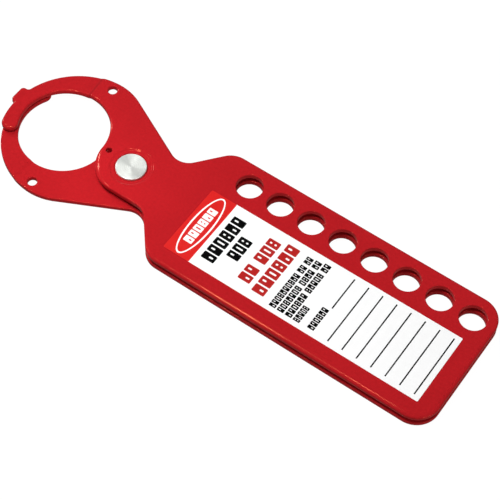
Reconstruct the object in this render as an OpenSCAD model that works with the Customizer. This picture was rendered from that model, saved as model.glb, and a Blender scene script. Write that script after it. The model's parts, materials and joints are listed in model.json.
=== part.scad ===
// Steel lockout hasp with a write-on label on each side.
// Two stamped plates turn against each other on one rivet. Each plate ends in half of a
// round jaw, and a row of padlock holes runs through both bodies, which keeps them shut.
//
// Frame: the origin is the jaw's centre, on the mid-plane between the plates. +X runs from
// the jaw to the padlock end, +Y to the side with the padlock holes, +Z out of the front
// plate. The front plate's half of the jaw is on the +Y side, the rear plate's on the -Y side.

/* [Plates] */
// Thickness of each plate
plate_t = 2.4; // [2.2:0.1:2.8]
// Space between the two bodies
body_gap = 2; // [1.9:0.1:2.4]
// Width of the bodies
body_w = 60.5; // [58:0.5:64]
// Distance from the jaw's centre to the padlock end
body_end = 192.8; // [190:0.2:210]
// Distance from the jaw's centre to where the shoulder's slope meets the body's side
shoulder_x = 64.6; // [63:0.1:66]
// Slope of the shoulders, measured from the hasp's length
shoulder_a = 50.6; // [48:0.2:53]
// Radius where a shoulder turns into the body's side
shoulder_r = 9.4; // [6:0.1:11]
// Radius of the two corners at the padlock end
end_r = 10; // [4:0.5:16]

/* [Jaw] */
// Inside diameter of the closed jaw
jaw_d = 38.1; // [36:0.1:39]
// Radius of the jaw's outer arc beside the neck
crown_r = 24.5; // [23.8:0.1:25.4]
// Radius of the jaw's outer arc from the crown to the tip
flank_r = 31.7; // [31:0.1:32.6]
// Where the outer arc changes from crown to flank, measured around the crown's centre from +X
crown_a = 94.5; // [90:0.5:100]
// How far the front tip's centre passes the hasp's centreline
front_tip_a = 28; // [24:1:36]
// How far the rear tip's centre passes the hasp's centreline
rear_tip_a = 28; // [24:1:36]
// How far each half of the jaw steps towards the other plate
joggle = 0.6; // [0.3:0.1:0.8]
// Where the step lies, measured around the jaw from +X
joggle_a = 95; // [92:0.5:98]
// How far the ear stands out from the front half's flank
ear_out = 2.2; // [1.5:0.1:4]
// Length of the ear along the flank
ear_w = 8; // [6:0.1:10]

/* [Neck and pivot] */
// Distance from the jaw's centre to the pivot
pivot_x = 34.6; // [34.4:0.1:35]
// Slope of the neck's straight side
neck_a = 26.5; // [25:0.5:28]
// Radius between the neck and a shoulder
neck_r = 7.8; // [6:0.1:9]
// Radius of the pressed dish around the rivet, at its floor
dish_r = 8.1; // [7.5:0.1:8.7]
// Depth of the pressed dish
dish_depth = 0.9; // [0.6:0.05:0.95]

/* [Rivet] */
// Diameter of the rivet's turned head
head_d = 12.8; // [12:0.1:14]
// Diameter of the rivet's formed tail
tail_d = 12; // [11:0.1:14]
// Diameter of the rivet's shank
shank_d = 8; // [6:0.5:9]
// Height of the head and of the tail
head_h = 1; // [0.8:0.05:1.2]
// Running clearance around the shank and under the head
pivot_clear = 0.05; // [0.03:0.01:0.08]

/* [Holes] */
// Diameter of the padlock holes
padlock_d = 11.2; // [9:0.1:12]
// Distance between padlock holes
padlock_pitch = 14.88; // [14:0.02:15.2]
// Distance from the jaw's centre to the first padlock hole
padlock_x = 79; // [78:0.5:82]
// Distance from the hasp's centreline to the row of padlock holes
padlock_y = 20.1; // [19.5:0.1:20.5]
// Diameter of the hanging hole in each half of the jaw
hang_d = 4; // [3:0.1:4.5]
// Diameter of the small hole in the neck
neck_hole_d = 2.6; // [2:0.1:3.2]

/* [Labels] */
// Length of each label
label_l = 116.7; // [100:0.1:118]
// Width of each label
label_w = 32.8; // [28:0.1:33]
// Distance from the jaw's centre to the label's near end
label_x = 68; // [68:0.5:73]
// Distance from the hasp's centreline to the label's centreline
label_y = -6.7; // [-8:0.1:-6.5]
// Thickness of the laminated label
label_t = 0.15; // [0.1:0.01:0.2]

/* [Hidden] */
$fn = 96;

arc_step = 4;               // degrees between the points of an arc in an outline
cut = 1;                    // how far a cutting solid runs past what it cuts
padlock_count = 8;
jaw_r = jaw_d / 2;
body_z = body_gap / 2;      // inner face of a body, measured from the mid-plane
face_z = body_z + plate_t;  // outer face of a body
tip_z = body_z - joggle;    // inner face of a stepped half of the jaw
joggle_w = 0.8;             // length of the slope in the step
floor_z = face_z - dish_depth;
dish_wall = 1.2;            // how much wider the dish is on the plate's inner face
side_y = body_w / 2;

// Arc centres. The crown's centre is its own dimension, and the flank's follows from it,
// because the two arcs share a tangent at crown_a.
crown_c = [6.1, 6.5];
flank_c = crown_c + (crown_r - flank_r) * dir(crown_a);
// The lug is the round end of the plate behind the other plate's half of the jaw.
// It touches the jaw's circle from outside.
lug_c = [pivot_x - 0.97, 1.17];
lug_r = norm(lug_c) - jaw_r;

// Places of the two small holes, on the front plate's side of the centreline.
hang_c = [4.65, 26.7];
neck_hole_c = [pivot_x - 12.35, 1.4];
// The ear's middle, along Y.
ear_y = 2.8;
ear_r = 1.6;

function dir(a) = [cos(a), sin(a)];
function unit(v) = v / norm(v);
function heading(v) = atan2(v.y, v.x);
function short_turn(a) = a - 360 * round(a / 360);

// Points of an arc from angle a0 to angle a1.
function arc(c, r, a0, a1) =
    let (n = ceil(abs(a1 - a0) / arc_step))
    [for (i = [0:n]) c + r * dir(a0 + (a1 - a0) * i / n)];

// Points of the arc that rounds the corner at q between the points p and s.
function corner(p, q, s, r) =
    let (
        u = unit(p - q),
        v = unit(s - q),
        half = acos(u * v) / 2,
        c = q + unit(u + v) * r / sin(half),
        a0 = heading(q + u * r / tan(half) - c),
        a1 = heading(q + v * r / tan(half) - c)
    )
    arc(c, r, a0, a0 + short_turn(a1 - a0));

// Where the line through p at angle a crosses the line through q at angle b.
function meet(p, a, q, b) =
    let (d = q - p, across = cross(dir(a), dir(b)))
    p + dir(a) * cross(d, dir(b)) / across;

// Radius of the round tip at angle a: it touches the jaw's circle and the flank.
function tip_radius(a) =
    let (k = dir(a) * flank_c)
    (flank_r * flank_r - flank_c * flank_c - jaw_r * jaw_r + 2 * jaw_r * k)
    / (2 * (jaw_r + flank_r - k));

// Outline of a plate whose half of the jaw is on the +Y side, with the jaw still closed
// by the piece that the bore takes out. It runs round the tip, over the crown, down the
// neck, round the body and back along the lug.
function plate_outline(tip_a) =
    let (
        a = 180 + tip_a,
        r = tip_radius(a),
        tip_c = (jaw_r + r) * dir(a),
        flank_a = short_turn(heading(tip_c - flank_c)) + 360,
        neck_start = crown_c + crown_r * dir(90 - neck_a),
        shoulder = [shoulder_x, side_y],
        lower_shoulder = [shoulder_x, -side_y],
        neck = meet(neck_start, -neck_a, shoulder, shoulder_a),
        lug_side = lug_c - [0, lug_r],
        lower_neck = meet(lug_side, 0, lower_shoulder, -shoulder_a),
        end_corner = [body_end, side_y],
        lower_end_corner = [body_end, -side_y],
        inside = jaw_r - 2
    )
    concat(
        [inside * dir(a)],
        arc(tip_c, r, a - 180 - arc_step, flank_a - 360),
        arc(flank_c, flank_r, flank_a - arc_step, crown_a),
        arc(crown_c, crown_r, crown_a - arc_step, 90 - neck_a),
        corner(neck_start, neck, shoulder, neck_r),
        corner(neck, shoulder, end_corner, shoulder_r),
        corner(shoulder, end_corner, lower_end_corner, end_r),
        corner(end_corner, lower_end_corner, lower_shoulder, end_r),
        corner(lower_end_corner, lower_shoulder, lower_neck, shoulder_r),
        corner(lower_shoulder, lower_neck, lug_side, neck_r),
        arc(lug_c, lug_r, 270, 180 + arc_step),
        [inside * dir(0)]
    );

// Everything on the tip's side of the step across the jaw, moved back by d.
module tip_side(d) {
    reach = 2 * body_end;
    rotate([0, 0, joggle_a])
        translate([-reach / 2, -d, -reach / 2])
            cube([reach, reach, reach]);
}

// A flat ear on the tip's flank, to press the jaw open with.
module ear() {
    left = flank_c.x - flank_r - ear_out;
    inboard = jaw_r + 2.4;
    low = ear_y - ear_w / 2;
    high = ear_y + ear_w / 2;
    polygon(concat(
        [[-inboard, low]],
        corner([-inboard, low], [left, low], [left, high], ear_r),
        corner([left, low], [left, high], [-inboard, high], ear_r),
        [[-inboard, high]]
    ));
}

// One stamped plate, outer face up, with its half of the jaw on the +Y side when side is 1
// and on the -Y side when side is -1.
module plate(side, tip_a, with_ear) {
    outline = plate_outline(tip_a);
    difference() {
        union() {
            difference() {
                translate([0, 0, body_z])
                    linear_extrude(plate_t)
                        scale([1, side]) polygon(outline);
                scale([1, side, 1]) tip_side(-joggle_w / 2);
            }
            intersection() {
                translate([0, 0, tip_z])
                    linear_extrude(plate_t)
                        scale([1, side]) {
                            polygon(outline);
                            if (with_ear) ear();
                        }
                scale([1, side, 1]) tip_side(joggle_w / 2);
            }
            // underside of the dish
            translate([pivot_x, 0, body_z - dish_depth])
                cylinder(r = dish_r + dish_wall, h = dish_depth + plate_t / 2);
        }
        translate([pivot_x, 0, floor_z])
            cylinder(r = dish_r, h = dish_depth + cut);
        translate([pivot_x, 0, 0])
            cylinder(d = shank_d + 2 * pivot_clear, h = face_z + cut);
        translate([0, 0, -cut])
            cylinder(r = jaw_r, h = face_z + 2 * cut, $fn = 180);
        for (i = [0:padlock_count - 1])
            translate([padlock_x + i * padlock_pitch, padlock_y, 0])
                cylinder(d = padlock_d, h = face_z + cut);
        translate([hang_c.x, side * hang_c.y, 0])
            cylinder(d = hang_d, h = face_z + cut);
        translate([neck_hole_c.x, side * neck_hole_c.y, 0])
            cylinder(d = neck_hole_d, h = face_z + cut);
    }
}

module front_plate() {
    color([0.76, 0.1, 0.13])
        plate(1, front_tip_a, true);
}

module rear_plate() {
    color([0.62, 0.08, 0.11])
        mirror([0, 0, 1]) plate(-1, rear_tip_a, false);
}

// The head turns over the front dish with a running clearance, and the tail is formed
// down onto the rear dish.
module pivot_rivet() {
    head_z = floor_z + pivot_clear;
    edge = 0.25;
    color([0.82, 0.83, 0.82])
        translate([pivot_x, 0, 0])
            rotate_extrude()
                polygon([
                    [0, -floor_z - head_h],
                    [tail_d / 2 - edge, -floor_z - head_h],
                    [tail_d / 2, -floor_z - head_h + edge],
                    [tail_d / 2, -floor_z],
                    [shank_d / 2, -floor_z],
                    [shank_d / 2, head_z],
                    [head_d / 2, head_z],
                    [head_d / 2, head_z + head_h - edge],
                    [head_d / 2 - edge, head_z + head_h],
                    [0, head_z + head_h]
                ]);
}

// A label lying on a plate's outer face, with its header strip towards the jaw.
module label_sheet() {
    translate([label_x, label_y - label_w / 2, face_z])
        cube([label_l, label_w, label_t]);
}

module front_label() {
    color([0.97, 0.97, 0.96]) label_sheet();
}

module rear_label() {
    color([0.95, 0.95, 0.94]) mirror([0, 0, 1]) label_sheet();
}

front_plate();
rear_plate();
pivot_rivet();
front_label();
rear_label();
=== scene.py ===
import json
import math
import bpy
import bmesh
import numpy as np
from mathutils import Matrix, Vector
from mathutils.geometry import delaunay_2d_cdt


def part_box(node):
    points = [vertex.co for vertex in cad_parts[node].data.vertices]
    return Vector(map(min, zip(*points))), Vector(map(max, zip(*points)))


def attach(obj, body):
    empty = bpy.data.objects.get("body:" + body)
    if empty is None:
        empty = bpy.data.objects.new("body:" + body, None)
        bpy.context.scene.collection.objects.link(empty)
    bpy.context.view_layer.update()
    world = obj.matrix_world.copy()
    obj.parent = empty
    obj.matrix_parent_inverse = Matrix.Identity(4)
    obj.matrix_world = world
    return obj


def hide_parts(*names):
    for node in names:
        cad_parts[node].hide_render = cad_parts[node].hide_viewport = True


# Looks for a steel lockout hasp: two powder coated plates, a turned rivet, two printed labels.
# Lengths are worked out in millimetres and become metres where a mesh is made.

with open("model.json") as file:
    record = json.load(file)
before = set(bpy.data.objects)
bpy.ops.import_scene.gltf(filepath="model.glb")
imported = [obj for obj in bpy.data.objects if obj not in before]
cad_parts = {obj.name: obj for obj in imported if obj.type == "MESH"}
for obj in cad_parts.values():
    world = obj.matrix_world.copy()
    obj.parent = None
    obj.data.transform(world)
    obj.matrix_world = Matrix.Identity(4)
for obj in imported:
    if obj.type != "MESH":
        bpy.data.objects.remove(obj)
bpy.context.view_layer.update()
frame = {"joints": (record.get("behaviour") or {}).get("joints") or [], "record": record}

MM = 0.001
scene = bpy.context.scene
mounts = {m["name"]: m for m in frame["record"]["mounts"]}
hinge = frame["joints"][0]


def span(node):
    """Lowest and highest corner of a CAD node, in millimetres."""
    low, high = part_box(node)
    return low / MM, high / MM


# ---------------------------------------------------------------- sizes from the frame
PLATE_LOW, PLATE_HIGH = span("front_plate")
LABEL_LOW, LABEL_HIGH = span("front_label")
RIVET_LOW, RIVET_HIGH = span("pivot_rivet")
FACE_Z = PLATE_HIGH.z
BODY_END = PLATE_HIGH.x
HALF_W = -PLATE_LOW.y
PIVOT_X = hinge["pos_m"][0] / MM
JAW_R = mounts["jaw"]["dims"]["r_mm"]
PADLOCK = [mounts[n] for n in sorted(mounts) if n.startswith("padlock_hole")]
PADLOCK_R = PADLOCK[0]["dims"]["r_mm"]
PADLOCK_X = [m["pos_m"][0] / MM for m in PADLOCK]
PADLOCK_Y = PADLOCK[0]["pos_m"][1] / MM
TETHER = mounts["tether_hole_front"]
TETHER_X = TETHER["pos_m"][0] / MM
TETHER_Y = TETHER["pos_m"][1] / MM
TETHER_R = TETHER["dims"]["r_mm"]
PLATE_T = TETHER["dims"]["length_mm"]
BODY_Z = FACE_Z - PLATE_T

# ---------------------------------------------------------------- sizes of the shapes
CROWN_C = np.array([6.1, 6.5])
CROWN_R = 24.5
FLANK_R = 31.7
CROWN_A = 94.5
NECK_A = 26.5
NECK_R = 7.8
SHOULDER_X = 64.6
SHOULDER_A = 50.6
SHOULDER_R = 9.4
END_R = 10.0
LUG_C = np.array([PIVOT_X - 0.97, 1.17])
LUG_R = np.linalg.norm(LUG_C) - JAW_R
FRONT_TIP_A = 28
REAR_TIP_A = 28
EAR_OUT = 2.2
EAR_W = 8
EAR_Y = 2.8
EAR_R = 1.6
EAR_ROOT_R = 1.4
JOGGLE = 0.6
JOGGLE_A = 95
JOGGLE_SOFT = 1.1           # half the length over which the step is drawn out
JOGGLE_NEAR = 1.0           # the mesh points along the step lie between these two distances
JOGGLE_FAR = 11.5           # from the jaw's inner edge
PAINTED_SHADE_W = 0.7              # how far the painted shade along the step reaches to each side
NECK_HOLE = (PIVOT_X - 12.35, 1.4)
NECK_HOLE_R = 1.3
DISH_R = 8.1
DISH_DEPTH = 0.9
DISH_WALL = 1.2             # how much wider the pressed side of the dish is
DISH_STEP = 0.42            # the part of the depth that the dish's wall takes
SEAT_R = 6.6                # the rest is the seat pressed under the head
SEAT_WALL = 0.6
SHANK_HOLE_R = 4.05
DISH_PATCH_R = 10.2         # the round patch of mesh that holds the dish
TAIL_R = 6.0
SHANK_R = 4.0
BUTTON_H = 1.0              # height of the rivet's head and of its tail
RIVET_EDGE = 0.35           # radius round the rims of both
PUNCH_R = 1.5               # the punch mark in the middle of the tail
PUNCH_DEPTH = 0.35
GROOVE_DEPTH = 0.02         # the turned rings on the head
GROOVE_PITCH = 0.85
HEADER_L = 12.1             # length of the label's header strip
HEADER_GAP = 2              # nothing is printed this close to the header

# Rolled lips of the stamping: how far in they start and how deep they go.
LIP = (2.3, 1.0)
FAR_LIP = (1.4, 0.8)
NECK_LIP = (0.6, 0.5)
JAW_LIP = (1.0, 0.7)
LUG_LIP = (4.0, 1.4)
LUG_LIP_A = 215             # where round the lug its lip is widest
SMALL_LIP = (0.9, 0.7)
TIP_LIP = (2.2, 1.0)
HOLE_LIP = (0.45, 0.35)
BACK_LIP = 0.45
LIP_STEPS = 8
BACK_STEPS = 4
ARC_STEP = 0.45             # longest chord on an arc
ARC_TURN = 9                # most degrees between two samples on an arc
LINE_STEP = 6.0             # longest piece of a straight side
ROUND_COUNT = 96            # points round a turned ring
EDGE_GAP = 0.3              # extra mesh points closer than this to an edge are left out
SLIVER = 3e-4               # a triangle narrower than this has no area
WELD = 2e-6                 # metres within which vertices are welded
SAME = 1e-4                 # samples of an outline closer than this are one


def direction(a):
    """Unit vector at a degrees."""
    return np.array([math.cos(math.radians(a)), math.sin(math.radians(a))])


def heading(v):
    return math.degrees(math.atan2(v[1], v[0]))


def short_turn(a):
    return a - 360 * round(a / 360)


# ---------------------------------------------------------------- outline of a plate
# An outline is a list of samples (point, outward normal, lip width, lip depth).

def arc(c, r, a0, a1, out, lip0, lip1=None):
    """Samples of an arc. out is 1 where the steel is inside the arc and -1 where it is outside."""
    lip1 = lip1 or lip0
    turn = abs(a1 - a0)
    n = max(4, math.ceil(math.radians(turn) * r / ARC_STEP), math.ceil(turn / ARC_TURN))
    found = []
    for i in range(n + 1):
        t = i / n
        u = direction(a0 + (a1 - a0) * t)
        lip = [p * (1 - t) + q * t for p, q in zip(lip0, lip1)]
        found.append((np.array(c) + r * u, out * u, lip[0], lip[1]))
    return found


def corner(p, q, s, r, out, lip0, lip1=None):
    """Samples of the arc that rounds the corner at q between the points p and s."""
    p, q, s = np.array(p), np.array(q), np.array(s)
    u = (p - q) / np.linalg.norm(p - q)
    v = (s - q) / np.linalg.norm(s - q)
    half = math.acos(u @ v) / 2
    c = q + (u + v) / np.linalg.norm(u + v) * r / math.sin(half)
    a0 = heading(q + u * r / math.tan(half) - c)
    a1 = heading(q + v * r / math.tan(half) - c)
    return arc(c, r, a0, a0 + short_turn(a1 - a0), out, lip0, lip1)


def meet(p, a, q, b):
    """Where the line through p at angle a crosses the line through q at angle b."""
    m = np.array([direction(a), -direction(b)]).T
    t = np.linalg.solve(m, np.array(q) - np.array(p))
    return np.array(p) + direction(a) * t[0]


def with_lines(samples):
    """The samples with extra ones along the straight stretches between them."""
    found = []
    for i, (p, n, w, d) in enumerate(samples):
        q, _, w2, d2 = samples[(i + 1) % len(samples)]
        found.append((p, n, w, d))
        pieces = math.ceil(np.linalg.norm(q - p) / LINE_STEP)
        for k in range(1, pieces):
            t = k / pieces
            found.append((p * (1 - t) + q * t, n, w * (1 - t) + w2 * t, d * (1 - t) + d2 * t))
    return [s for i, s in enumerate(found) if np.linalg.norm(s[0] - found[i - 1][0]) > SAME]


def ear_samples(flank_c):
    """The ear that stands out from the flank, with small fillets at its two roots."""
    left = flank_c[0] - FLANK_R - EAR_OUT
    low, high = EAR_Y - EAR_W / 2, EAR_Y + EAR_W / 2
    reach = FLANK_R + EAR_ROOT_R

    def root(y):
        return np.array([flank_c[0] - math.sqrt(reach ** 2 - (y - flank_c[1]) ** 2), y])

    low_c, high_c = root(low - EAR_ROOT_R), root(high + EAR_ROOT_R)
    start = heading(low_c - flank_c) % 360
    stop = heading(high_c - flank_c) % 360
    inboard = left + EAR_W
    samples = arc(low_c, EAR_ROOT_R, short_turn(start - 180), 90, -1, SMALL_LIP)
    samples += corner((inboard, low), (left, low), (left, high), EAR_R, 1, SMALL_LIP)
    samples += corner((left, low), (left, high), (inboard, high), EAR_R, 1, SMALL_LIP)
    samples += arc(high_c, EAR_ROOT_R, 270, 180 + stop, -1, SMALL_LIP)
    return samples, start, stop


def plate_outline(tip_a, with_ear):
    """Outline of a plate whose half of the jaw is on the +Y side, run clockwise."""
    flank_c = CROWN_C + (CROWN_R - FLANK_R) * direction(CROWN_A)
    a = 180 + tip_a
    k = direction(a) @ flank_c
    tip_r = (FLANK_R ** 2 - flank_c @ flank_c - JAW_R ** 2 + 2 * JAW_R * k)
    tip_r /= 2 * (JAW_R + FLANK_R - k)
    tip_c = (JAW_R + tip_r) * direction(a)
    flank_a = heading(tip_c - flank_c) % 360

    neck_start = CROWN_C + CROWN_R * direction(90 - NECK_A)
    shoulder = np.array([SHOULDER_X, HALF_W])
    lower_shoulder = np.array([SHOULDER_X, -HALF_W])
    neck = meet(neck_start, -NECK_A, shoulder, SHOULDER_A)
    lug_side = LUG_C - [0, LUG_R]
    lower_neck = meet(lug_side, 0, lower_shoulder, -SHOULDER_A)
    end_corner = np.array([BODY_END, HALF_W])
    lower_end_corner = np.array([BODY_END, -HALF_W])
    lug_a = heading(LUG_C)
    tip_middle = (a - 180 + flank_a - 360) / 2

    samples = arc(tip_c, tip_r, a - 180, tip_middle, 1, SMALL_LIP, TIP_LIP)
    samples += arc(tip_c, tip_r, tip_middle, flank_a - 360, 1, TIP_LIP, SMALL_LIP)
    if with_ear:
        ear, start, stop = ear_samples(flank_c)
        samples += arc(flank_c, FLANK_R, flank_a, start, 1, SMALL_LIP)
        samples += ear
        samples += arc(flank_c, FLANK_R, stop, CROWN_A, 1, SMALL_LIP)
    else:
        samples += arc(flank_c, FLANK_R, flank_a, CROWN_A, 1, SMALL_LIP)
    samples += arc(CROWN_C, CROWN_R, CROWN_A, 90 - NECK_A, 1, SMALL_LIP)
    samples += corner(neck_start, neck, shoulder, NECK_R, -1, FAR_LIP)
    samples += corner(neck, shoulder, end_corner, SHOULDER_R, 1, FAR_LIP)
    samples += corner(shoulder, end_corner, lower_end_corner, END_R, 1, FAR_LIP)
    samples += corner(end_corner, lower_end_corner, lower_shoulder, END_R, 1, LIP)
    samples += corner(lower_end_corner, lower_shoulder, lower_neck, SHOULDER_R, 1, LIP, NECK_LIP)
    samples += corner(lower_shoulder, lower_neck, lug_side, NECK_R, -1, NECK_LIP)
    samples += arc(LUG_C, LUG_R, 270, LUG_LIP_A, 1, NECK_LIP, LUG_LIP)
    samples += arc(LUG_C, LUG_R, LUG_LIP_A, 180 + lug_a, 1, LUG_LIP, JAW_LIP)
    samples += arc((0, 0), JAW_R, lug_a, a, -1, JAW_LIP, SMALL_LIP)
    return with_lines(samples)


def circle(c, r, lip):
    """Samples of a round hole."""
    n = max(48, math.ceil(2 * math.pi * r / ARC_STEP))
    spokes = [direction(360 * i / n) for i in range(n)]
    return [(np.array(c) + r * u, -u, *lip) for u in spokes]


# ---------------------------------------------------------------- surface of a plate
def smooth(t):
    t = min(max(t, 0.0), 1.0)
    return t * t * (3 - 2 * t)


def stepped(p):
    """How far the joggle has moved the sheet at p, from 0 to 1."""
    across = direction(JOGGLE_A + 90)
    return smooth((p @ across + JOGGLE_SOFT) / (2 * JOGGLE_SOFT))


def dished(r):
    """How far the dish has dropped the sheet at r from the pivot."""
    wall = DISH_STEP * (1 - smooth((r - DISH_R) / DISH_WALL))
    seat = (DISH_DEPTH - DISH_STEP) * (1 - smooth((r - SEAT_R) / SEAT_WALL))
    return wall + seat


def outer_z(p):
    r = math.hypot(p[0] - PIVOT_X, p[1])
    return FACE_Z - JOGGLE * stepped(p) - dished(r)


def inner_z(p):
    r = math.hypot(p[0] - PIVOT_X, p[1])
    return BODY_Z - JOGGLE * stepped(p) - dished(r)


def ring_profile(width, depth):
    """Rings of a rounded edge from the outer face to the inner face: how far in each lies from
    the outline, from which face it is measured, and how far from that face."""
    rings = []
    for i in range(LIP_STEPS + 1):
        t = math.pi / 2 * i / LIP_STEPS
        rings.append((width * (1 - math.sin(t)), "outer", -depth * (1 - math.cos(t))))
    for i in range(BACK_STEPS + 1):
        t = math.pi / 2 * i / BACK_STEPS
        rings.append((BACK_LIP * (1 - math.cos(t)), "inner", BACK_LIP * (1 - math.sin(t))))
    return rings


def inside(points, loop):
    """Which points lie inside a closed loop."""
    x, y = points[:, 0], points[:, 1]
    hit = np.zeros(len(points), bool)
    for (x0, y0), (x1, y1) in zip(loop, np.roll(loop, -1, 0)):
        if y0 == y1:
            continue
        crosses = (y0 > y) != (y1 > y)
        hit ^= crosses & (x < (x1 - x0) * (y - y0) / (y1 - y0) + x0)
    return hit


def joggle_points():
    """Points across the half jaw where the sheet is stepped, so that the step comes out smooth."""
    along, across = direction(JOGGLE_A), direction(JOGGLE_A + 90)
    return [along * r + across * d
            for d in np.linspace(-JOGGLE_SOFT, JOGGLE_SOFT, 7)
            for r in np.linspace(JAW_R + JOGGLE_NEAR, JAW_R + JOGGLE_FAR, 9)]


class Surface:
    """Vertices and faces gathered piece by piece, and welded when the mesh is made."""

    def __init__(self):
        self.points = []
        self.faces = []

    def add(self, points):
        start = len(self.points)
        self.points += points
        return list(range(start, start + len(points)))

    def strip(self, a, b):
        """Faces between two closed rings: triangles where a ring is one point, else quads."""
        for i in range(len(a)):
            j = (i + 1) % len(a)
            self.faces.append(tuple(dict.fromkeys((a[i], a[j], b[j], b[i]))))


def edge_rings(surface, samples, side):
    """The rounded edge round one outline. Gives back the flat face's loops, outer and inner."""
    profiles = [ring_profile(width, depth) for _, _, width, depth in samples]
    rings = []
    loops = []
    for k in range(LIP_STEPS + BACK_STEPS + 2):
        ring = []
        loop = []
        for (p, n, _, _), profile in zip(samples, profiles):
            inset, face, dz = profile[k]
            q = p - n * inset
            z = (outer_z(q) if face == "outer" else inner_z(q)) + dz
            ring.append((q[0], side * q[1], side * z))
            loop.append(q)
        rings.append(surface.add(ring))
        loops.append(np.array(loop))
    for a, b in zip(rings, rings[1:]):
        surface.strip(a, b)
    return loops[0], loops[-1]


def flat_face(surface, outline, holes, extra, height, side):
    """Triangles of one face of a plate, between its outline and its holes."""
    points = [Vector(p) for p in outline]
    edges = [(i, (i + 1) % len(outline)) for i in range(len(outline))]
    for hole in holes:
        start = len(points)
        points += [Vector(p) for p in hole]
        edges += [(start + i, start + (i + 1) % len(hole)) for i in range(len(hole))]
    if len(extra):
        extra = np.array(extra)
        keep = inside(extra, outline)
        for hole in holes:
            keep &= ~inside(extra, hole)
        rims = np.vstack([outline, *holes])
        gap = np.array([np.min(np.hypot(*(rims - p).T)) for p in extra])
        points += [Vector(p) for p, ok in zip(extra, keep & (gap > EDGE_GAP)) if ok]
    spots, _, triangles, _, _, _ = delaunay_2d_cdt(points, edges, [], 0, 1e-5)
    spots = np.array([tuple(s) for s in spots])
    triangles = np.array(triangles)
    corners = spots[triangles]
    middle = corners.mean(1)
    # The points of a straight side are off its line by rounding alone. The slivers that this
    # makes between them are left out.
    sides = corners - np.roll(corners, 1, 1)
    width = abs(np.linalg.det(sides[:, :2])) / np.linalg.norm(sides, axis=2).max(1)
    keep = inside(middle, outline) & (width > SLIVER)
    for hole in holes:
        keep &= ~inside(middle, hole)
    ids = surface.add([(p[0], side * p[1], side * height(p)) for p in spots])
    surface.faces += [tuple(ids[i] for i in t) for t in triangles[keep]]


def pivot_circle(r):
    """Points of a circle round the pivot."""
    pivot = np.array([PIVOT_X, 0])
    return np.array([pivot + r * direction(360 * i / ROUND_COUNT) for i in range(ROUND_COUNT)])


def dish_patch(surface, side):
    """The dish pressed round the rivet, both faces, and the hole that the shank runs in."""
    radii = [SHANK_HOLE_R, *np.linspace(SEAT_R, SEAT_R + SEAT_WALL, 9),
             *np.linspace(DISH_R, DISH_R + DISH_WALL, 20), DISH_PATCH_R]
    bore = []
    for height in (outer_z, inner_z):
        rings = []
        for r in radii:
            rings.append(surface.add([(p[0], side * p[1], side * height(p)) for p in pivot_circle(r)]))
        for a, b in zip(rings, rings[1:]):
            surface.strip(a, b)
        bore.append(rings[0])
    surface.strip(*bore)
    return pivot_circle(DISH_PATCH_R)


def put_in_scene(name, mesh, coat):
    """A new object that shows a mesh in one material."""
    mesh.materials.append(coat)
    obj = bpy.data.objects.new(name, mesh)
    scene.collection.objects.link(obj)
    return obj


def new_mesh(name, surface, coat, body):
    """A smooth, welded, closed mesh from a surface in millimetres."""
    bm = bmesh.new()
    verts = [bm.verts.new([c * MM for c in p]) for p in surface.points]
    for f in surface.faces:
        bm.faces.new([verts[i] for i in f])
    bmesh.ops.remove_doubles(bm, verts=bm.verts, dist=WELD)
    loose = [v for v in bm.verts if not v.link_faces]
    bmesh.ops.delete(bm, geom=loose, context="VERTS")
    bmesh.ops.recalc_face_normals(bm, faces=bm.faces)
    mesh = bpy.data.meshes.new(name)
    bm.to_mesh(mesh)
    bm.free()
    mesh.shade_smooth()
    obj = put_in_scene(name, mesh, coat)
    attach(obj, body)
    return obj


def plate(name, side, tip_a, with_ear, body):
    """One stamping. side is 1 for the front plate and -1 for the same stamping turned over."""
    surface = Surface()
    rims = [plate_outline(tip_a, with_ear)]
    rims += [circle((x, side * PADLOCK_Y), PADLOCK_R, HOLE_LIP) for x in PADLOCK_X]
    rims.append(circle((TETHER_X, TETHER_Y), TETHER_R, HOLE_LIP))
    rims.append(circle(NECK_HOLE, NECK_HOLE_R, HOLE_LIP))
    loops = [edge_rings(surface, rim, side) for rim in rims]
    dish = dish_patch(surface, side)
    for which, height in ((0, outer_z), (1, inner_z)):
        holes = [loop[which] for loop in loops[1:]] + [dish]
        flat_face(surface, loops[0][which], holes, joggle_points(), height, side)
    obj = new_mesh(name, surface, RED_COAT, body)
    weighted = obj.modifiers.new("even_shading", "WEIGHTED_NORMAL")
    weighted.weight = 80
    return obj


# ---------------------------------------------------------------- rivet
def lathe(name, profile, coat, body):
    """A piece turned round the pivot from a profile of (radius, height), closed on its axis."""
    surface = Surface()
    rings = []
    for r, z in profile:
        if r == 0:
            rings.append(surface.add([(PIVOT_X, 0, z)]) * ROUND_COUNT)
        else:
            rings.append(surface.add([(*p, z) for p in pivot_circle(r)]))
    for a, b in zip(rings, rings[1:]):
        surface.strip(a, b)
    return new_mesh(name, surface, coat, body)


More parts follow.
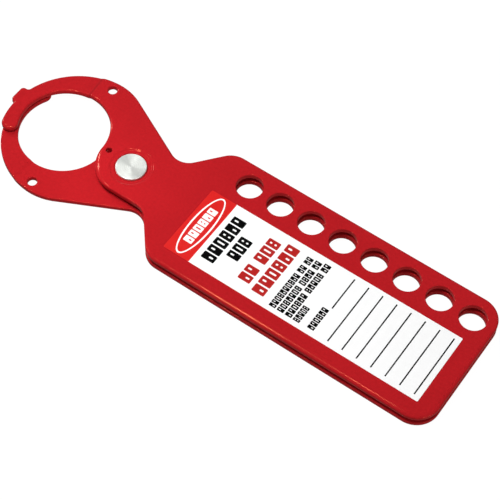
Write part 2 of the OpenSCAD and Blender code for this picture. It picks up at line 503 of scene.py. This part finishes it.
def rivet_profile():
    """Half section of the rivet, from the tail's centre round to the head's centre."""
    top, bottom = RIVET_HIGH.z, RIVET_LOW.z
    head_base, tail_base = top - BUTTON_H, bottom + BUTTON_H
    head_r = RIVET_HIGH.x - PIVOT_X
    head_flat, tail_flat = head_r - RIVET_EDGE, TAIL_R - RIVET_EDGE
    profile = [(0, bottom + PUNCH_DEPTH)]
    for i in range(1, 9):
        t = i / 8
        profile.append((PUNCH_R * t, bottom + PUNCH_DEPTH * (1 - smooth(t))))
    profile.append((tail_flat, bottom))
    for i in range(1, 6):
        t = math.pi / 2 * i / 5
        profile.append((tail_flat + RIVET_EDGE * math.sin(t), bottom + RIVET_EDGE * (1 - math.cos(t))))
    profile += [(TAIL_R, tail_base), (SHANK_R, tail_base), (SHANK_R, head_base), (head_r, head_base)]
    for i in range(6):
        t = math.pi / 2 * i / 5
        profile.append((head_flat + RIVET_EDGE * math.cos(t), top - RIVET_EDGE + RIVET_EDGE * math.sin(t)))
    # The rings start just inside the rounded rim and stop short of the centre.
    r = head_flat - 0.05
    while r > 0.15:
        phase = (r / GROOVE_PITCH) % 1
        profile.append((r, top - GROOVE_DEPTH * (0.5 + 0.5 * math.cos(2 * math.pi * phase))))
        r -= GROOVE_PITCH / 10
    profile.append((0, top - GROOVE_DEPTH))
    return profile


# ---------------------------------------------------------------- materials
# Colours are linear. A mottled surface runs between the two colours of its pair.
COAT = (0.34, 0.0083, 0.0121), (0.54, 0.0132, 0.0188)
# Painted shade: a dark red laid along the joggle's step, where the step falls in shade.
COAT_PAINTED_SHADE = (0.22, 0.003, 0.005)
COAT_SHEEN = (1.0, 0.27, 0.14)
METAL = (0.65, 0.67, 0.63), (0.79, 0.81, 0.77)
WHITE = (0.93, 0.93, 0.93), (0.97, 0.97, 0.97)
BLACK = (0.001, 0.001, 0.001), (0.003, 0.003, 0.003)
HEADER_RED = (0.62, 0.010, 0.009), (0.67, 0.013, 0.011)
WORD_RED = (0.42, 0.009, 0.008), (0.46, 0.012, 0.010)


def material(name):
    """A new node material: itself, its nodes, its links and its shader."""
    mat = bpy.data.materials.new(name)
    mat.use_nodes = True
    return mat, mat.node_tree.nodes, mat.node_tree.links, mat.node_tree.nodes["Principled BSDF"]


def noise(nodes, links, scale, detail):
    """A noise in object coordinates, which are metres in the row frame."""
    place = nodes.new("ShaderNodeTexCoord")
    tex = nodes.new("ShaderNodeTexNoise")
    tex.inputs["Scale"].default_value = scale
    tex.inputs["Detail"].default_value = detail
    links.new(place.outputs["Object"], tex.inputs["Vector"])
    return tex.outputs["Fac"]


def mixed_colour(nodes, links, factor, a, b):
    """A colour from a to b by a factor. Each of them is a socket or three numbers."""
    mix = nodes.new("ShaderNodeMix")
    mix.data_type = "RGBA"
    for socket, value in ((mix.inputs["A"], a), (mix.inputs["B"], b)):
        if isinstance(value, tuple):
            socket.default_value = (*value, 1)
        else:
            links.new(value, socket)
    links.new(factor, mix.inputs["Factor"])
    return mix.outputs["Result"]


def ranged(nodes, links, value, low, high, to_low, to_high):
    """A value between low and high, brought to the range from to_low to to_high."""
    node = nodes.new("ShaderNodeMapRange")
    node.inputs["From Min"].default_value = low
    node.inputs["From Max"].default_value = high
    node.inputs["To Min"].default_value = to_low
    node.inputs["To Max"].default_value = to_high
    links.new(value, node.inputs["Value"])
    return node.outputs["Result"]


def bump(nodes, links, height, distance, strength):
    node = nodes.new("ShaderNodeBump")
    node.inputs["Distance"].default_value = distance
    node.inputs["Strength"].default_value = strength
    links.new(height, node.inputs["Height"])
    return node.outputs["Normal"]


def math_node(nodes, links, operation, *values):
    """A Math node. Each of its values is a socket or a number."""
    node = nodes.new("ShaderNodeMath")
    node.operation = operation
    for socket, value in zip(node.inputs, values):
        if isinstance(value, (int, float)):
            socket.default_value = value
        else:
            links.new(value, socket)
    return node.outputs["Value"]


def position(nodes, links):
    """The X, Y and Z of a point in object coordinates, in metres."""
    place = nodes.new("ShaderNodeTexCoord")
    split = nodes.new("ShaderNodeSeparateXYZ")
    links.new(place.outputs["Object"], split.inputs["Vector"])
    return split.outputs


def painted_shade_mask(nodes, links):
    """Mask of the painted shade: half strength along the step across the +Y half of the jaw, where the
    step falls in shade.
    """
    at = position(nodes, links)
    across = direction(JOGGLE_A + 90)
    d = math_node(nodes, links, "ADD", math_node(nodes, links, "MULTIPLY", at["X"], across[0]),
                  math_node(nodes, links, "MULTIPLY", at["Y"], across[1]))
    band = ranged(nodes, links, math_node(nodes, links, "ABSOLUTE", d), 0, PAINTED_SHADE_W * MM, 0.5, 0)
    front_half = math_node(nodes, links, "GREATER_THAN", at["Y"], 0)
    return math_node(nodes, links, "MULTIPLY", band, front_half)


def powder_coat():
    """Glossy red powder coat: a fine orange peel, a mottle, and a painted shade along the step."""
    mat, nodes, links, shader = material("red_powder_coat")
    peel = noise(nodes, links, scale=900, detail=2)
    cloud = noise(nodes, links, scale=60, detail=3)
    mottle = math_node(nodes, links, "ADD", math_node(nodes, links, "MULTIPLY", cloud, 0.35),
                       math_node(nodes, links, "MULTIPLY", peel, 0.65))
    colour = mixed_colour(nodes, links, mottle, *COAT)
    # Painted shade: the coat is darkened along the joggle's step.
    step_shaded_colour = mixed_colour(nodes, links, painted_shade_mask(nodes, links), colour, COAT_PAINTED_SHADE)
    links.new(step_shaded_colour, shader.inputs["Base Color"])
    links.new(ranged(nodes, links, cloud, 0.3, 0.7, 0.11, 0.14), shader.inputs["Roughness"])
    links.new(bump(nodes, links, peel, distance=0.06 * MM, strength=0.3), shader.inputs["Normal"])
    shader.inputs["Specular IOR Level"].default_value = 0.22
    shader.inputs["Specular Tint"].default_value = (*COAT_SHEEN, 1)
    return mat


def turned_metal():
    """Face-turned bright metal: the grooves are in the mesh, and the tool's grain runs round them."""
    mat, nodes, links, shader = material("turned_aluminium")
    grain = noise(nodes, links, scale=700, detail=3)
    links.new(mixed_colour(nodes, links, grain, *METAL), shader.inputs["Base Color"])
    links.new(ranged(nodes, links, grain, 0.3, 0.7, 0.32, 0.4), shader.inputs["Roughness"])
    shader.inputs["Metallic"].default_value = 0.55
    shader.inputs["Anisotropic"].default_value = 0.7
    shader.inputs["Anisotropic Rotation"].default_value = 0.25
    tangent = nodes.new("ShaderNodeTangent")
    tangent.direction_type = "RADIAL"
    tangent.axis = "Z"
    links.new(tangent.outputs["Tangent"], shader.inputs["Tangent"])
    return mat


def vinyl_film(name, roughness):
    """Printed vinyl under a clear film, still without its colour: a fine texture and a mottle."""
    mat, nodes, links, shader = material(name)
    mottle = noise(nodes, links, scale=400, detail=4)
    film = noise(nodes, links, scale=2500, detail=2)
    rough = ranged(nodes, links, mottle, 0.3, 0.7, roughness, roughness + 0.06)
    links.new(rough, shader.inputs["Roughness"])
    links.new(bump(nodes, links, film, distance=0.02 * MM, strength=0.15), shader.inputs["Normal"])
    return mat, nodes, links, shader, mottle


def white_vinyl():
    mat, nodes, links, shader, mottle = vinyl_film("label_vinyl", 0.32)
    links.new(mixed_colour(nodes, links, mottle, *WHITE), shader.inputs["Base Color"])
    return mat


def black_print():
    mat, nodes, links, shader, mottle = vinyl_film("label_black_ink", 0.5)
    links.new(mixed_colour(nodes, links, mottle, *BLACK), shader.inputs["Base Color"])
    shader.inputs["Specular IOR Level"].default_value = 0.02
    return mat


def red_print():
    """Red print: the header strip is lighter than the words further along the label."""
    mat, nodes, links, shader, mottle = vinyl_film("label_red_ink", 0.3)
    header = mixed_colour(nodes, links, mottle, *HEADER_RED)
    words = mixed_colour(nodes, links, mottle, *WORD_RED)
    past_header = math_node(nodes, links, "GREATER_THAN", position(nodes, links)["X"],
                            (LABEL_LOW.x + HEADER_L + HEADER_GAP) * MM)
    links.new(mixed_colour(nodes, links, past_header, header, words), shader.inputs["Base Color"])
    shader.inputs["Specular IOR Level"].default_value = 0.2
    return mat


RED_COAT = powder_coat()
TURNED = turned_metal()
VINYL = white_vinyl()
RED_INK = red_print()
BLACK_INK = black_print()

# ---------------------------------------------------------------- labels
LABEL_L = LABEL_HIGH.x - LABEL_LOW.x
LABEL_Y0, LABEL_Y1 = LABEL_LOW.y, LABEL_HIGH.y
LABEL_MID = (LABEL_Y0 + LABEL_Y1) / 2
REAR_SHIFT = -LABEL_Y0 - LABEL_Y1   # the rear label keeps its place when the hasp is turned over
LABEL_R = 0.4                       # radius of the label's corners
INK_T, OVERPRINT_T = 0.02, 0.012    # thickness of the print, and of what is printed on the header
INK_SINK = 0.005                    # how far a layer of print reaches into what it lies on
SHEET_T = LABEL_HIGH.z - LABEL_LOW.z - (INK_T + OVERPRINT_T)
# Lowest and highest level of the two layers of print, above the plate's face.
INK = (SHEET_T - INK_SINK, SHEET_T + INK_T)
OVERPRINT = (INK[1] - INK_SINK, INK[1] + OVERPRINT_T)
HEADER_WRAP = 0.02                  # how far the header's ink laps over the label's edges

# Places of the print: X from the label's near end, Y from the hasp's centreline. A line of
# print is its two ends in X and in Y, and how many blocks stand in each of its groups.
EMBLEM_X = 6.25
EMBLEM_OUTER = (4.6, 15.5)
EMBLEM_INNER = (3.9, 14.8)
EMBLEM_LINE = (4.2, 8.2, -16.3, 2.7, (6,))
BLACK_HEADINGS = ((14.4, 20.4, -18.7, 5.1, (6,)), (22.1, 27.6, -12.4, -1.1, (3,)))
RED_HEADINGS = ((31.5, 37.1, -18.1, 4.9, (2, 3)), (39.1, 44.8, -19.7, 6.8, (6,)))
# Four lines of small print at an equal pitch, which start level with the rules.
NOTE_X, NOTE_PITCH, NOTE_H = 48.4, 3.68, 3.0
NOTES = ((6.2, (10, 2, 2)), (6.6, (7, 4, 2)), (7.5, (6, 5, 2)), (-13.1, (5,)))
LAST_LINE = (65.8, 68.8, -20.7, -9.4, (6,))
# Ruled lines to write on: a short one after the last line of print, then seven long ones.
RULE_HALF = 0.28
RULE_R = 0.05
RULE_Y = (-21.1, 7.9)
SHORT_RULE = (69.1, -8.2)
RULE_X, RULE_PITCH, RULE_COUNT = 75.6, 6.41, 7
# Slots in a block of print, as parts of its height, and where they lie across it.
GLYPH_SLOTS = (((0.22, 0.78),), ((0.22, 0.4), (0.6, 0.78)), ((0.5, 0.8),), ((0.2, 0.5),))
SLOT_SIDES = (0.4, 0.63)
# Parts of a block's pitch: the space between blocks and between groups, and the corners' radii.
GLYPH_GAP, GROUP_GAP = 0.16, 0.55
GLYPH_R, SLOT_R = 0.1, 0.08


def slab(surface, loop, levels, side, holes=()):
    """A thin plate of print or vinyl between two levels above the outer face."""
    shift = [0, 0 if side > 0 else REAR_SHIFT]
    loops = [np.array(one) + shift for one in [loop, *holes]]
    for z in levels:
        flat_face(surface, loops[0], loops[1:], [], lambda p, z=z: FACE_Z + z, side)
    for one in loops:
        surface.strip(*(surface.add([(p[0], side * p[1], side * (FACE_Z + z)) for p in one])
                        for z in levels))


def rounded_box(x0, x1, y0, y1, r):
    """Outline of a rectangle with round corners. X is from the label's near end."""
    loop = []
    for cx, cy, a in ((x1 - r, y1 - r, 0), (x0 + r, y1 - r, 90),
                      (x0 + r, y0 + r, 180), (x1 - r, y0 + r, 270)):
        loop += [np.array([cx, cy]) + r * direction(a + 90 * k / 4) for k in range(5)]
    return [p + [LABEL_LOW.x, 0] for p in loop]


def emblem_ellipse(rx, ry):
    """Outline of an ellipse round the middle of the header."""
    turns = [2 * math.pi * i / ROUND_COUNT for i in range(ROUND_COUNT)]
    return [np.array([LABEL_LOW.x + EMBLEM_X + rx * math.cos(t), LABEL_MID + ry * math.sin(t)])
            for t in turns]


def print_line(surface, side, x0, x1, y0, y1, groups, levels=INK):
    """A line of print as plain blocks with slots in them."""
    pitch = (y1 - y0) / (sum(groups) + GROUP_GAP * (len(groups) - 1))
    y = y0
    for count in groups:
        for k in range(count):
            a, b = y + GLYPH_GAP * pitch / 2, y + pitch * (1 - GLYPH_GAP / 2)
            left, right = (a + (b - a) * s for s in SLOT_SIDES)
            slots = GLYPH_SLOTS[(count + k) % len(GLYPH_SLOTS)]
            holes = [rounded_box(x0 + (x1 - x0) * p, x0 + (x1 - x0) * q, left, right, SLOT_R * pitch)
                     for p, q in slots]
            slab(surface, rounded_box(x0, x1, a, b, GLYPH_R * pitch), levels, side, holes)
            y += pitch
        y += GROUP_GAP * pitch


def label_piece(name, surface, coat, body):
    """A piece of a label, with flat shading."""
    obj = new_mesh(name, surface, coat, body)
    obj.data.shade_flat()
    return obj


def label(prefix, side, body, node):
    """One label: its sheet, its header with an emblem, and its black and red print."""
    sheet = Surface()
    slab(sheet, rounded_box(0, LABEL_L, LABEL_Y0, LABEL_Y1, LABEL_R), (0, SHEET_T), side)
    sheet_obj = label_piece(prefix + "_label_sheet", sheet, VINYL, body)
    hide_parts(node)

    header = Surface()
    slab(header, rounded_box(-HEADER_WRAP, HEADER_L, LABEL_Y0 - HEADER_WRAP, LABEL_Y1 + HEADER_WRAP,
                             LABEL_R), (0, INK[1]), side)
    label_piece(prefix + "_label_header", header, RED_INK, body)

    emblem = Surface()
    slab(emblem, emblem_ellipse(*EMBLEM_OUTER), OVERPRINT, side, holes=[emblem_ellipse(*EMBLEM_INNER)])
    print_line(emblem, side, *EMBLEM_LINE, OVERPRINT)
    label_piece(prefix + "_label_emblem", emblem, VINYL, body)

    black = Surface()
    for line in BLACK_HEADINGS:
        print_line(black, side, *line)
    for k, (y1, groups) in enumerate(NOTES):
        x0 = NOTE_X + NOTE_PITCH * k
        print_line(black, side, x0, x0 + NOTE_H, RULE_Y[0], y1, groups)
    print_line(black, side, *LAST_LINE)
    rules = [SHORT_RULE] + [(RULE_X + RULE_PITCH * k, RULE_Y[0]) for k in range(RULE_COUNT)]
    for x, y0 in rules:
        slab(black, rounded_box(x - RULE_HALF, x + RULE_HALF, y0, RULE_Y[1], RULE_R), INK, side)
    label_piece(prefix + "_label_black_print", black, BLACK_INK, body)

    red = Surface()
    for line in RED_HEADINGS:
        print_line(red, side, *line)
    label_piece(prefix + "_label_red_print", red, RED_INK, body)


# ---------------------------------------------------------------- the object
front = plate("front_plate_stamping", 1, FRONT_TIP_A, True, "front")
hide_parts("front_plate")
rear = plate("rear_plate_stamping", -1, REAR_TIP_A, False, "rear")
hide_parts("rear_plate")
rivet = lathe("pivot_rivet_turned", rivet_profile(), TURNED, "rear")
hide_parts("pivot_rivet")
label("front", 1, "front", "front_label")
label("rear", -1, "rear", "rear_label")

# ---------------------------------------------------------------- stage
FLOOR_GAP = 0.05            # millimetres between the rear label and the floor
FLOOR_HALF = 4              # from here on, lengths are in metres
DOME_R = 3.9
BOUNCE_DROP = 0.0002
SHEET_GREY = (0.05, 0.05, 0.05, 1)

scene.view_settings.view_transform = "Standard"
scene.view_settings.look = "None"


def seen_only(obj):
    """The camera sees the object, and it gives the others no light, reflection or shadow."""
    obj.visible_diffuse = False
    obj.visible_glossy = False
    obj.visible_shadow = False


# The floor shows from above only, so that the hasp's back can be seen from below.
floor_mat, floor_nodes, floor_links, floor_shader = material("floor_paper")
floor_shader.inputs["Base Color"].default_value = SHEET_GREY
floor_shader.inputs["Roughness"].default_value = 0.9
floor_shader.inputs["Specular IOR Level"].default_value = 0.1
floor_shader.inputs["Emission Color"].default_value = (1, 1, 1, 1)
floor_shader.inputs["Emission Strength"].default_value = 0.98
facing = floor_nodes.new("ShaderNodeNewGeometry")
clear = floor_nodes.new("ShaderNodeBsdfTransparent")
one_sided = floor_nodes.new("ShaderNodeMixShader")
floor_links.new(facing.outputs["Backfacing"], one_sided.inputs["Fac"])
floor_links.new(floor_shader.outputs["BSDF"], one_sided.inputs[1])
floor_links.new(clear.outputs["BSDF"], one_sided.inputs[2])
floor_links.new(one_sided.outputs["Shader"], floor_nodes["Material Output"].inputs["Surface"])

floor_z = (span("rear_label")[0].z - FLOOR_GAP) * MM
floor_mesh = bpy.data.meshes.new("floor")
square = ((-1, -1), (1, -1), (1, 1), (-1, 1))
floor_mesh.from_pydata([(FLOOR_HALF * x, FLOOR_HALF * y, floor_z) for x, y in square], [], [(0, 1, 2, 3)])
bounce_mesh = floor_mesh.copy()
floor = put_in_scene("floor", floor_mesh, floor_mat)
seen_only(floor)

dome_mesh = bpy.data.meshes.new("backdrop")
bm = bmesh.new()
bmesh.ops.create_uvsphere(bm, u_segments=48, v_segments=24, radius=DOME_R)
bmesh.ops.reverse_faces(bm, faces=bm.faces)
bm.to_mesh(dome_mesh)
bm.free()
dome = put_in_scene("backdrop", dome_mesh, floor_mat)
seen_only(dome)

# What the floor throws back up is its own, weaker sheet, so that the floor can stay white.
bounce_mat, _, _, bounce_shader = material("floor_bounce_light")
bounce_shader.inputs["Base Color"].default_value = SHEET_GREY
bounce_shader.inputs["Emission Color"].default_value = (1, 0.45, 0.4, 1)
bounce_shader.inputs["Emission Strength"].default_value = 0.25
bounce = put_in_scene("floor_bounce", bounce_mesh, bounce_mat)
bounce.location.z = -BOUNCE_DROP
bounce.visible_camera = False
bounce.visible_shadow = False

# The sky is darker at the horizon.
world = bpy.data.worlds.new("studio")
scene.world = world
world.use_nodes = True
wnodes, wlinks = world.node_tree.nodes, world.node_tree.links
sky_place = wnodes.new("ShaderNodeTexCoord")
sky_split = wnodes.new("ShaderNodeSeparateXYZ")
wlinks.new(sky_place.outputs["Generated"], sky_split.inputs["Vector"])
sky_level = ranged(wnodes, wlinks, sky_split.outputs["Z"], -0.15, 0.35, 0.05, 0.26)
wlinks.new(sky_level, wnodes["Background"].inputs["Strength"])
wnodes["Background"].inputs["Color"].default_value = (1, 1, 1, 1)


def softbox(name, place, size, power, target=(0.08, 0, 0)):
    """A rectangular lamp at a place, turned to the middle of the hasp or to another target."""
    light = bpy.data.lights.new(name, "AREA")
    light.shape = "RECTANGLE"
    light.size, light.size_y = size
    light.energy = power
    obj = bpy.data.objects.new(name, light)
    obj.location = place
    aim = Vector(target) - Vector(place)
    obj.rotation_euler = aim.to_track_quat("-Z", "Y").to_euler()
    obj.visible_camera = False
    scene.collection.objects.link(obj)


softbox("lamp_left", (-0.055, -0.12, 0.55), (0.04, 0.09), 1.35)
softbox("lamp_far_left", (-0.25, 0.02, 0.5), (0.04, 0.04), 0.5)
softbox("lamp_middle", (0.073, -0.07, 0.48), (0.03, 0.06), 0.3)
softbox("window_left", (-1.05, 0.3, 0.9), (0.16, 0.16), 5.5)
softbox("fill_right", (1.1, -0.3, 0.4), (0.7, 0.5), 3.4)
softbox("lamp_pivot", (0.027, -0.016, 0.05), (0.01, 0.01), 0.0065, target=(0.027, -0.016, 0))
softbox("lamp_below", (0.08, 0, -0.6), (0.3, 0.3), 2.0)

# ---------------------------------------------------------------- camera
CAMERA_AT = (0.28051, -0.28874, 0.52875)
camera_data = bpy.data.cameras.new("camera")
camera_data.lens = 115.24
camera_data.sensor_width = 36
camera = bpy.data.objects.new("camera", camera_data)
scene.collection.objects.link(camera)
right = Vector((0.81895, 0.57341, 0.02307))
up = Vector((-0.49250, 0.68163, 0.54113))
back = right.cross(up)
turn = Matrix((right, up, back)).transposed().to_4x4()
camera.matrix_world = Matrix.Translation(CAMERA_AT) @ turn
scene.camera = camera
